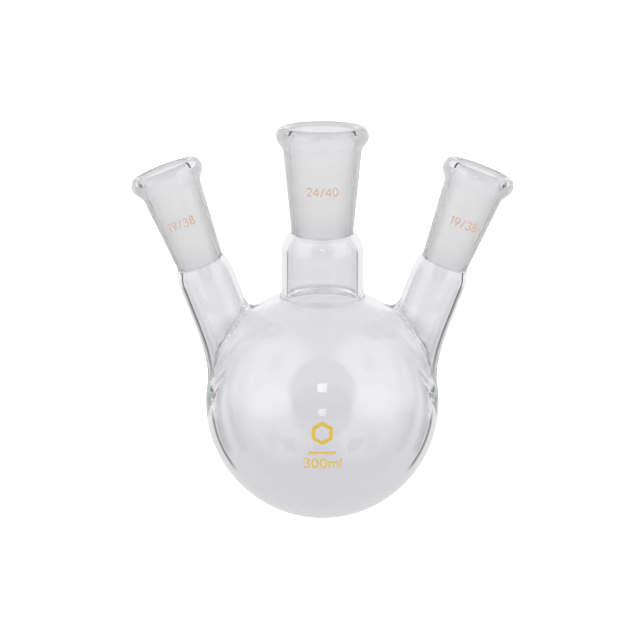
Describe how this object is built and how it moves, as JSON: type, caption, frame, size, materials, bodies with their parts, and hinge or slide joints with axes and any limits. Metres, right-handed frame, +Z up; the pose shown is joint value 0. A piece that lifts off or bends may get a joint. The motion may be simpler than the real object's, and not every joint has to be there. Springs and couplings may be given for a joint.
{
  "type": "three-neck round bottom flask",
  "caption": "Clear glass reaction flask: a round ball with an upright centre neck and a slanted neck on each side, each with a ground taper socket for stoppers and adapters.",
  "frame": {"origin": "lowest point of the ball, under the middle of the centre neck", "axes": "+Z up along the centre neck, the side necks lean towards -X and +X, the enamel marks face -Y"},
  "size_m": [0.1428, 0.0901, 0.1516],
  "materials": {
    "clear_glass": "clear, fire polished",
    "weld_glass": "clear, thick, faint green",
    "ground_glass": "clear outside, ground matt inside",
    "gold_enamel": "fired enamel, satin",
    "tan_enamel": "fired enamel, thin, satin"
  },
  "bodies": {
    "root": {"bulb": "clear_glass", "centre_seal": "weld_glass", "centre_neck": "clear_glass", "centre_socket": "ground_glass", "left_seal": "weld_glass", "left_neck": "clear_glass", "left_socket": "ground_glass", "right_seal": "weld_glass", "right_neck": "clear_glass", "right_socket": "ground_glass", "capacity_mark": "gold_enamel", "emblem_mark": "gold_enamel", "centre_size_mark": "tan_enamel", "left_size_mark": "tan_enamel", "right_size_mark": "tan_enamel"}
  },
  "joints": []
}
